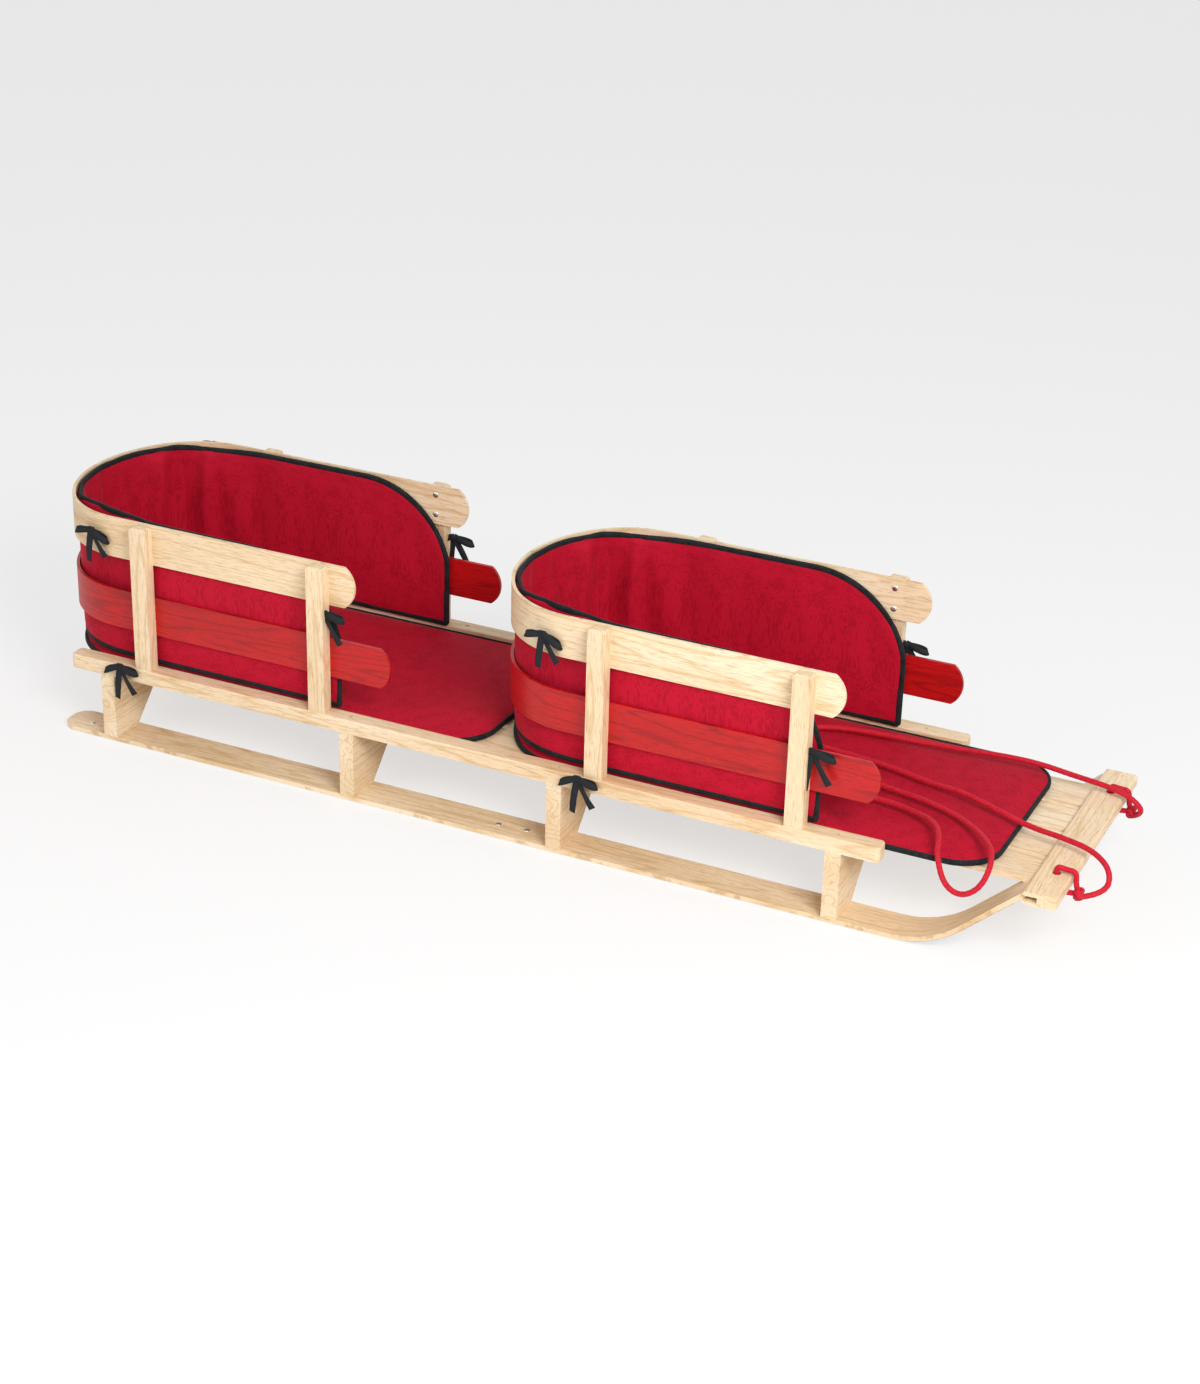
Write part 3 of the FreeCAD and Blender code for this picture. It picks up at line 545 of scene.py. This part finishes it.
def cloth_finish(name, light, middle, dark, thread, sheen):
    """Plain woven cloth: warp and weft a thread apart, uneven yarn, and a faint sheen.

    Threads are drawn coarser than real ones, so that they show."""
    material, tree = new_finish(name)
    place = add_node(tree, "ShaderNodeTexCoord")
    waves = []
    for axis in ("X", "Y"):
        waves.append(add_node(tree, "ShaderNodeTexWave", {
            "Vector": place.outputs["UV"], "Scale": WAVE_LENGTH / thread,
            "Distortion": 0.35,
            "Detail": 1.0, "Detail Scale": 2.0},
            wave_type="BANDS", bands_direction=axis).outputs["Fac"])
    weave = add_node(tree, "ShaderNodeMath", {0: waves[0], 1: waves[1]}, operation="MULTIPLY")
    slub = add_node(tree, "ShaderNodeTexNoise", {
        "Vector": place.outputs["UV"], "Scale": SLUBS_PER_METRE, "Detail": 4.0,
        "Roughness": 0.65})
    fine = add_node(tree, "ShaderNodeTexNoise", {
        "Vector": place.outputs["UV"], "Scale": 0.5 / thread, "Detail": 2.0})
    lifted = add_node(tree, "ShaderNodeMath", {
        0: slub.outputs["Fac"], 1: fine.outputs["Fac"]}, operation="ADD")
    colour = ramp(tree, lifted.outputs[0], [(0.55, linear(dark)), (0.95, linear(middle)),
                                            (1.0, linear(light))])
    bump = add_node(tree, "ShaderNodeBump", {
        "Height": weave.outputs[0], "Strength": 0.12, "Distance": 0.0003})
    close_finish(tree, colour, bump.outputs["Normal"], **{
        "Roughness": 0.75, "Specular IOR Level": 0.14, "Sheen Weight": sheen,
        "Sheen Roughness": 0.4})
    return material


CLOTH_RED = cloth_finish("woven_polyester_red", "B80F2C", "AC0A26", "9A0620", 0.0016, 0.04)
TAPE_BLACK = cloth_finish("grosgrain_tape_black", "24272A", "191B1D", "101112", 0.0011, 0.03)


# Folds of a wall cushion, in mm: place from the back's middle, half width, depth and drift,
# and the share of the depth at the foot and at the top.
FOLDS = (
    (-340, 34, 8.0, 0.10, 0.4, 1.0), (-268, 20, 13.0, -0.10, 0.2, 1.0),
    (-222, 16, -6.0, 0.05, 0.4, 1.0), (-180, 17, 14.0, 0.14, 0.6, 1.0),
    (-128, 20, -6.0, 0.04, 1.0, 0.5), (-92, 17, 11.0, -0.16, 1.0, 0.5),
    (-38, 15, 8.0, 0.20, 1.0, 0.2), (6, 18, -5.0, -0.05, 0.9, 0.4),
    (48, 16, 11.0, -0.20, 1.0, 0.4), (104, 18, 12.0, 0.12, 0.7, 0.9),
    (148, 16, -6.0, -0.06, 0.5, 1.0), (192, 17, 13.0, 0.08, 0.5, 1.0),
    (250, 24, 9.0, -0.16, 0.4, 0.9), (330, 36, 6.0, 0.08, 0.8, 0.6))
FOLD_RISE = 220            # mm over which a fold drifts sideways
BACK_REACH, BACK_GAIN = 260, 0.5


def pleats(gone, height, total):
    """Depth in mm of the soft upright folds: narrow ridges whose place drifts with height.

    Each is depth * share * exp(-((s - s0 - drift z) / width)^2).  They are up to half as deep
    again round the back's middle, and three long ripples are added to them."""
    middle = total / 2
    depth = np.zeros(np.broadcast(gone, height).shape)
    for at, width, deep, drift, foot, top in FOLDS:
        share = foot + (top - foot) * height
        spot = gone - middle - at - drift * FOLD_RISE * (height - 0.5)
        depth += deep * share * np.exp(-(spot / width) ** 2)
    depth *= 1.0 + BACK_GAIN * np.exp(-((gone - middle) / BACK_REACH) ** 2)
    ripple = (1.6 * np.sin(gone / 43.0 + 3 * height) + 0.8 * np.sin(gone / 19.7 - 4 * height)
              + 0.35 * np.sin(gone / 11.1 + 5 * height))
    return depth + ripple


def wall_surface(shift, gone_share, height, depth):
    """Point on a tub's cushion wall from its share of the way round, height share and depth.

    The plan line is carried inwards by depth; the top follows the band's edge and sweeps
    down to the front in a quarter circle."""
    plan, normal = tub_plan(WALL_SET_IN, WALL_FRONT)
    gone = np.concatenate([[0], np.cumsum(np.linalg.norm(np.diff(plan, axis=0), axis=1))])
    at = gone_share * gone[-1]
    x, y = (np.interp(at, gone, plan[:, k]) for k in range(2))
    nx, ny = (np.interp(at, gone, normal[:, k]) for k in range(2))
    reach = np.clip(x - (WALL_FRONT - WALL_SWEEP), 0, WALL_SWEEP)
    top = WALL_TOP - WALL_SWEEP + np.sqrt(WALL_SWEEP ** 2 - reach ** 2)
    z = WALL_FLOOR + (top - WALL_FLOOR) * height
    return on_sled(np.stack([x - nx * depth + shift, y - ny * depth, z], axis=-1)), at, gone[-1]


GATHER_AT, GATHER_WIDE, GATHER_NEAR, GATHER_FAR = 215, 60, 24, 12   # mm
GATHER_FOOT = 0.15         # share of the gather that is left at the foot


def pulled_in(gone, total, height):
    """How far in mm the wall leaves the band where its ties gather it at the rear corners.

    It is a bell curve of the distance from each corner, growing with height."""
    spot = gone - total / 2
    near = np.exp(-((spot + GATHER_AT) / GATHER_WIDE) ** 2)
    far = np.exp(-((spot - GATHER_AT) / GATHER_WIDE) ** 2)
    return (GATHER_NEAR * near + GATHER_FAR * far) * (
        GATHER_FOOT + (1 - GATHER_FOOT) * height)


WALL_STATIONS, WALL_RING = 640, 96
WALL_ENDS, ENDS_SHARE = 0.0025, 0.02     # shares of the way round: where it starts, its taper
MID_DEPTH, HALF_FAT, DEEPEST_HOLLOW = 4.8, 4.4, -3.2                # mm
RING_LENGTH = 0.46         # metres of cloth round one station


def cushion_wall(tub, shift):
    """Closed padded wall: each station is one ring, up the inner face and down the outer one.

    On the ring, height is 0.5 - 0.485 cos^0.55 and fatness is 4.4 sin^0.5, each with its
    sign; folds are added on the inner face only and fade out at the edges and ends."""
    share = np.linspace(WALL_ENDS, 1 - WALL_ENDS, WALL_STATIONS)[:, None]
    across = np.linspace(0, 2 * math.pi, WALL_RING, endpoint=False)[None, :]
    height = 0.5 - 0.485 * np.sign(np.cos(across)) * np.abs(np.cos(across)) ** 0.55
    face = np.sin(across)                # above 0 on the inner face, below on the outer one
    share, height = np.broadcast_arrays(share, height)
    _, at, total = wall_surface(0, share, height, 0 * share)
    ends = np.clip(np.minimum(share, 1 - share) / ENDS_SHARE, 0, 1) ** 0.5
    fat = HALF_FAT * np.abs(face) ** 0.5 * np.sign(face) * (0.35 + 0.65 * ends)
    tuft = pleats(at, height, total) * np.clip(face, 0, 1) ** 0.4
    tuft *= np.sin(math.pi * np.clip(height, 0.02, 0.98)) ** 0.25 * ends
    depth = (MID_DEPTH + fat + np.maximum(tuft, DEEPEST_HOLLOW)
             + pulled_in(at, total, height))
    points, _, _ = wall_surface(shift, share, height, depth)
    uv_rows = np.broadcast_to(at[:, :1], (at.shape[0], at.shape[1] + 1)) / 1000
    uv_columns = np.linspace(0, RING_LENGTH, at.shape[1] + 1)[None, :] + 0 * uv_rows
    wall = grid_piece(tub + "_wall_cover", points, np.stack([uv_rows, uv_columns], -1),
                      wrap_columns=True, caps=True)
    wall.data.materials.append(CLOTH_RED)
    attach(wall, "root")
    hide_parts(tub + "_wall_cushion")


TAPE_SIDES, TAPE_SQUARE, TAPE_STEP = 16, 0.7, 0.003
WALL_TAPE = (0.0058, 0.0092)             # thick, wide, in metres
PAD_TAPE = (0.0082, 0.0052)


def taped_edge(name, line, out, thick, width):
    """Folded tape along a closed line: a squarish oval, wide along out and thin across it.

    Its points lie at cos^0.7 of the half width and sin^0.7 of the half thickness."""
    tangent, _, _ = frames_along(line, True)
    out = out / np.linalg.norm(out, axis=1)[:, None]
    across = np.cross(tangent, out)
    across /= np.linalg.norm(across, axis=1)[:, None]
    turn = np.linspace(0, 2 * math.pi, TAPE_SIDES, endpoint=False)
    wide = np.sign(np.cos(turn)) * np.abs(np.cos(turn)) ** TAPE_SQUARE * width / 2
    thin = np.sign(np.sin(turn)) * np.abs(np.sin(turn)) ** TAPE_SQUARE * thick / 2
    grid = (line[:, None] + out[:, None] * wide[None, :, None]
            + across[:, None] * thin[None, :, None])
    gone = np.arange(len(line) + 1) * np.linalg.norm(line[1] - line[0])
    around = np.linspace(0, 2 * (thick + width), TAPE_SIDES + 1)
    uv = np.stack(np.broadcast_arrays(gone[:, None], around[None, :]), axis=-1)
    tape = grid_piece(name, grid, uv, wrap_rows=True, wrap_columns=True)
    tape.data.materials.append(TAPE_BLACK)
    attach(tape, "root")


SIDE_MIDDLE, SIDE_HALF = 0.26, 0.2       # metres from the rails' rear end: the straight sides
TAPE_FOOT, TAPE_HEAD = 0.012, 0.985      # height shares of the two long edges


def wall_tape(tub, shift):
    """Tape round the wall's whole edge: along its foot, up the front and back along its top."""
    along = np.linspace(0.003, 0.997, 900)
    rise = np.linspace(0.03, 0.97, 60)
    share = np.concatenate([along, 0.997 + 0 * rise, along[::-1], 0.003 + 0 * rise])
    height = np.concatenate([0 * along + TAPE_FOOT, rise, 0 * along + TAPE_HEAD, rise[::-1]])
    _, at, total = wall_surface(0, share, height, 0 * share)
    sway = 0.25 * pleats(at, height, total) * (height > 0.5)
    depth = MID_DEPTH + pulled_in(at, total, height) + np.clip(sway, -2, 3)
    line, _, _ = wall_surface(shift, share, height, depth)
    line = evenly(line, TAPE_STEP, True)
    middle = line.mean(0) + np.array([0.04, 0, 0])
    tangent, _, _ = frames_along(line, True)
    plan_out = (line - middle) * np.array([1, 1, 0])
    plan_out /= np.linalg.norm(plan_out, axis=1)[:, None]
    straight = np.abs(line[:, 0] - (RAIL_REAR + SIDE_MIDDLE + shift / 1000)) < SIDE_HALF
    plan_out[straight] = np.column_stack([0 * line[straight, 0], np.sign(line[straight, 1]),
                                          0 * line[straight, 0]])
    taped_edge(tub + "_wall_tape", line, np.cross(tangent, plan_out), *WALL_TAPE)


def pad_outline(front, offset):
    """Closed outline of a seat pad, in mm: round at the back like its tub, two front arcs."""
    plan, _ = tub_plan(offset, front - PAD_CORNER)
    half = BAND_OUTER - offset
    arc = np.linspace(0, math.pi / 2, 24)[1:]
    left = np.column_stack([front - PAD_CORNER + PAD_CORNER * np.sin(arc),
                            half - PAD_CORNER + PAD_CORNER * np.cos(arc)])
    right = left[::-1] * np.array([1, -1])
    return np.vstack([plan, left, right])


PAD_STEP, PAD_RINGS = 4.0, 46
SPINE_REAR, SPINE_AHEAD = 60, 120        # mm: where the middle line starts and stops
EDGE_RISE, EDGE_LOSS, UNDER_GAP, UNDER_ROUND = 5.0, 8.5, 0.6, 3.4   # mm
PAD_TAPE_RISE = 4.6


def seat_pad(tub, shift, front):
    """Closed pad: the outline drawn in towards a middle line, low at the edge, crowned inside.

    Height = edge + crown (1 - r^4)^0.5 plus shallow ripples, for r from 0 in the middle to 1
    at the edge; the underside is flat and turns up at its rim."""
    outline = pad_outline(front, PAD_SET_IN)
    ring = evenly(np.column_stack([outline, 0 * outline[:, 0]]), PAD_STEP, True)[:, :2]
    spine = np.column_stack([np.clip(ring[:, 0], SPINE_REAR, front - SPINE_AHEAD),
                             0 * ring[:, 0]])
    top = np.sin(np.linspace(0.0, math.pi / 2, PAD_RINGS))
    r = np.concatenate([top, top[::-1][1:]])[:, None]
    under = np.concatenate([0 * top, 0 * top[1:] + 1])[:, None]
    x = spine[None, :, 0] + (ring - spine)[None, :, 0] * r
    y = spine[None, :, 1] + (ring - spine)[None, :, 1] * r
    ripple = (0.9 * np.sin(x / 41 + y / 63) + 0.7 * np.sin(y / 27 - x / 88)
              + 0.5 * np.sin(x / 17 + y / 31))
    crown = (PAD_TOP - PAD_FLOOR - EDGE_LOSS) * (1 - r ** 4) ** 0.5
    z = np.where(under > 0.5, PAD_FLOOR + UNDER_GAP + UNDER_ROUND * r ** 12,
                 PAD_FLOOR + EDGE_RISE + crown + ripple * (1 - r ** 4))
    points = on_sled(np.stack([x + shift, y, z], axis=-1))
    flat = np.concatenate([x, x[:, :1]], axis=1), np.concatenate([y, y[:, :1]], axis=1)
    pad = grid_piece(tub + "_seat_cover", points, np.stack(flat, axis=-1) / 1000,
                     wrap_columns=True)
    shell = bmesh.new()
    shell.from_mesh(pad.data)
    bmesh.ops.remove_doubles(shell, verts=shell.verts, dist=0.00005)
    bmesh.ops.recalc_face_normals(shell, faces=shell.faces)
    shell.to_mesh(pad.data)
    shell.free()
    pad.data.materials.append(CLOTH_RED)
    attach(pad, "root")
    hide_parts(tub + "_seat_pad")
    line = on_sled(np.column_stack([ring[:, 0] + shift, ring[:, 1],
                                    0 * ring[:, 0] + PAD_FLOOR + PAD_TAPE_RISE]))
    line = evenly(line, TAPE_STEP, True)
    tangent, _, _ = frames_along(line, True)
    taped_edge(tub + "_seat_tape", line, np.cross(tangent, (0, 0, 1.0)), *PAD_TAPE)


seat_pad("rear_tub", 0.0, 676.0)
seat_pad("front_tub", TUB_PITCH, 697.0)
for tub, shift in TUBS:
    cushion_wall(tub, shift)
    wall_tape(tub, shift)

# ---------------------------------------------------------------- ribbon ties
# Each cushion wall is tied on with six pairs of black ribbon: over the upper band near the
# back, round the front posts, and at the foot near the back, each in a small bow.
RIBBON_WIDE, RIBBON_THICK = 0.0095, 0.0008
LOOP_POINTS, WRAP_POINTS, SECOND_LOOP = 30, 15, 0.85


def ribbon(line, wide):
    """Flat ribbon as a grid: four corners of a thin section along a line, wide across it."""
    line, wide = np.asarray(line), np.asarray(wide, float)
    tangent = np.gradient(line, axis=0)
    tangent /= np.linalg.norm(tangent, axis=1)[:, None]
    wide = wide - tangent * np.einsum("ij,ij->i", tangent, wide)[:, None]
    wide /= np.linalg.norm(wide, axis=1)[:, None]
    thin = np.cross(tangent, wide)
    w, t = RIBBON_WIDE / 2, RIBBON_THICK / 2
    return np.stack([line + wide * w + thin * t, line - wide * w + thin * t,
                     line - wide * w - thin * t, line + wide * w - thin * t], axis=1)


def bow(name, centre, along, out, size, tilt):
    """Bow in a local frame: two drooping teardrop loops, two tails and a wrapped middle.

    A loop runs L sin(pi t) along, 0.18 L sin(2 pi t) outwards and 0.3 L sin(pi t)^1.3 down,
    more or less by its tilt."""
    centre, along, out = (np.asarray(v, float) for v in (centre, along, out))
    down = np.cross(along, out)
    down *= -1 if down[2] > 0 else 1
    t = np.linspace(0, 1, LOOP_POINTS)[:, None]
    strips = []
    for hand in (1, -1):
        reach = size * (1.0 if hand > 0 else SECOND_LOOP)
        line = (centre + hand * along * reach * np.sin(math.pi * t)
                + out * (0.0025 + 0.3 * reach * np.sin(2 * math.pi * t) * 0.6 + 0.003 * t)
                + down * reach * (0.3 + tilt * hand) * np.sin(math.pi * t) ** 1.3)
        strips.append(ribbon(line, down + 0.35 * hand * along + 0.5 * out * np.cos(math.pi * t)))
        tail = (centre + hand * along * size * (0.25 + 0.15 * hand) * t * 2
                + out * (0.003 + 0.002 * np.sin(3 * t)) + down * size * (1.55 - 0.2 * hand) * t)
        strips.append(ribbon(tail, along * hand + 0.3 * out * np.sin(4 * t)))
    turn = np.linspace(0, 2 * math.pi, WRAP_POINTS)[:, None]
    heart = centre + out * (0.0028 + 0.0026 * np.cos(turn)) + down * 0.004 * np.sin(turn)
    strips.append(ribbon(heart, along + 0 * turn))
    joined = bmesh.new()
    for number, strip in enumerate(strips):
        part = grid_piece("%s_%d" % (name, number), strip, np.zeros((len(strip), 5, 2)),
                          wrap_columns=True, caps=True)
        joined.from_mesh(part.data)
        bpy.data.objects.remove(part)
    mesh = bpy.data.meshes.new(name)
    joined.to_mesh(mesh)
    joined.free()
    tie = bpy.data.objects.new(name, mesh)
    stage.collection.objects.link(tie)
    tie.data.materials.append(TAPE_BLACK)
    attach(tie, "root")


# Where each tub's bows sit: x and z in mm for the left and the right one, x from the rails'
# rear end less the tub's own shift.  Each lies just outside the band, post or rail it ties to.
TIE_SPOTS = {
    "rear_tub": {"back": ((25, 352), (39, 338)), "front": ((452, 276), (440, 291)),
                 "foot": ((92, 133), (92, 134))},
    "front_tub": {"back": ((36, 352), (41, 331)), "front": ((447, 257), (447, 250)),
                  "foot": ((109, 131), (109, 132))}}
TIE_OUT = {"back": 176.5, "front": 182.5, "foot": 197.0}      # mm from the middle
TIE_SIZE = {"back": 0.030, "front": 0.034, "foot": 0.031}     # metres from knot to loop end
TIE_TILT = {"back": 0.15, "front": -0.12, "foot": -0.12}
for tub, shift in TUBS:
    for spot, places in TIE_SPOTS[tub].items():
        for (hand, side), (x, z) in zip(HANDS, places):
            bow("%s_%s_tie_%s" % (tub, spot, hand),
                on_sled([(x + shift, side * TIE_OUT[spot], z)])[0], (1, 0, 0),
                (0, side, 0), TIE_SIZE[spot], TIE_TILT[spot])

# ---------------------------------------------------------------- floor and lights
# A wide pale floor that shows white and keeps a soft shadow, under an even studio sky with
# two large soft lamps.
FLOOR_HALF, FLOOR_GLOW, SKY_LEVEL = 40.0, 0.62, 0.5
floor_mesh = bpy.data.meshes.new("floor")
floor_mesh.from_pydata([(-FLOOR_HALF, -FLOOR_HALF, 0), (FLOOR_HALF, -FLOOR_HALF, 0),
                        (FLOOR_HALF, FLOOR_HALF, 0), (-FLOOR_HALF, FLOOR_HALF, 0)],
                       [], [(0, 1, 2, 3)])
floor = bpy.data.objects.new("floor", floor_mesh)
stage.collection.objects.link(floor)
white_floor, tree = new_finish("pale_studio_floor")
rays = add_node(tree, "ShaderNodeLightPath")
shown = add_node(tree, "ShaderNodeMath", {
    0: rays.outputs["Is Camera Ray"], 1: FLOOR_GLOW}, operation="MULTIPLY")
matte = add_node(tree, "ShaderNodeBsdfDiffuse", {"Color": linear("F4F4F4")})
glow = add_node(tree, "ShaderNodeEmission", {"Color": (1, 1, 1, 1), "Strength": 1.0})
mixed = add_node(tree, "ShaderNodeMixShader", {
    0: shown.outputs[0], 1: matte.outputs["BSDF"], 2: glow.outputs["Emission"]})
add_node(tree, "ShaderNodeOutputMaterial", {"Surface": mixed.outputs["Shader"]})
floor.data.materials.append(white_floor)

sky = bpy.data.worlds.new("studio_sky")
sky.use_nodes = True
sky.node_tree.nodes.clear()
rays = add_node(sky.node_tree, "ShaderNodeLightPath")
seen = add_node(sky.node_tree, "ShaderNodeMath", {
    0: rays.outputs["Is Camera Ray"], 1: rays.outputs["Is Glossy Ray"]}, operation="MAXIMUM")
level = add_node(sky.node_tree, "ShaderNodeMapRange", {
    "Value": seen.outputs[0], "To Min": SKY_LEVEL, "To Max": 1.0})
sky_light = add_node(sky.node_tree, "ShaderNodeBackground", {
    "Color": (1, 1, 1, 1), "Strength": level.outputs["Result"]})
add_node(sky.node_tree, "ShaderNodeOutputWorld", {"Surface": sky_light.outputs["Background"]})
stage.world = sky

# name, place in metres, side of the square lamp, watts
LAMPS = (("key", (2.2, -2.0, 2.2), 1.4, 92.0), ("fill", (-1.8, -2.6, 1.8), 2.4, 26.0))
LAMP_AIM = Vector((0.0, 0.0, 0.15))
for name, spot, size, power in LAMPS:
    lamp = bpy.data.lights.new(name, "AREA")
    lamp.size, lamp.energy = size, power
    holder = bpy.data.objects.new(name, lamp)
    stage.collection.objects.link(holder)
    holder.location = spot
    aim = LAMP_AIM - Vector(spot)
    holder.rotation_euler = aim.to_track_quat("-Z", "Y").to_euler()
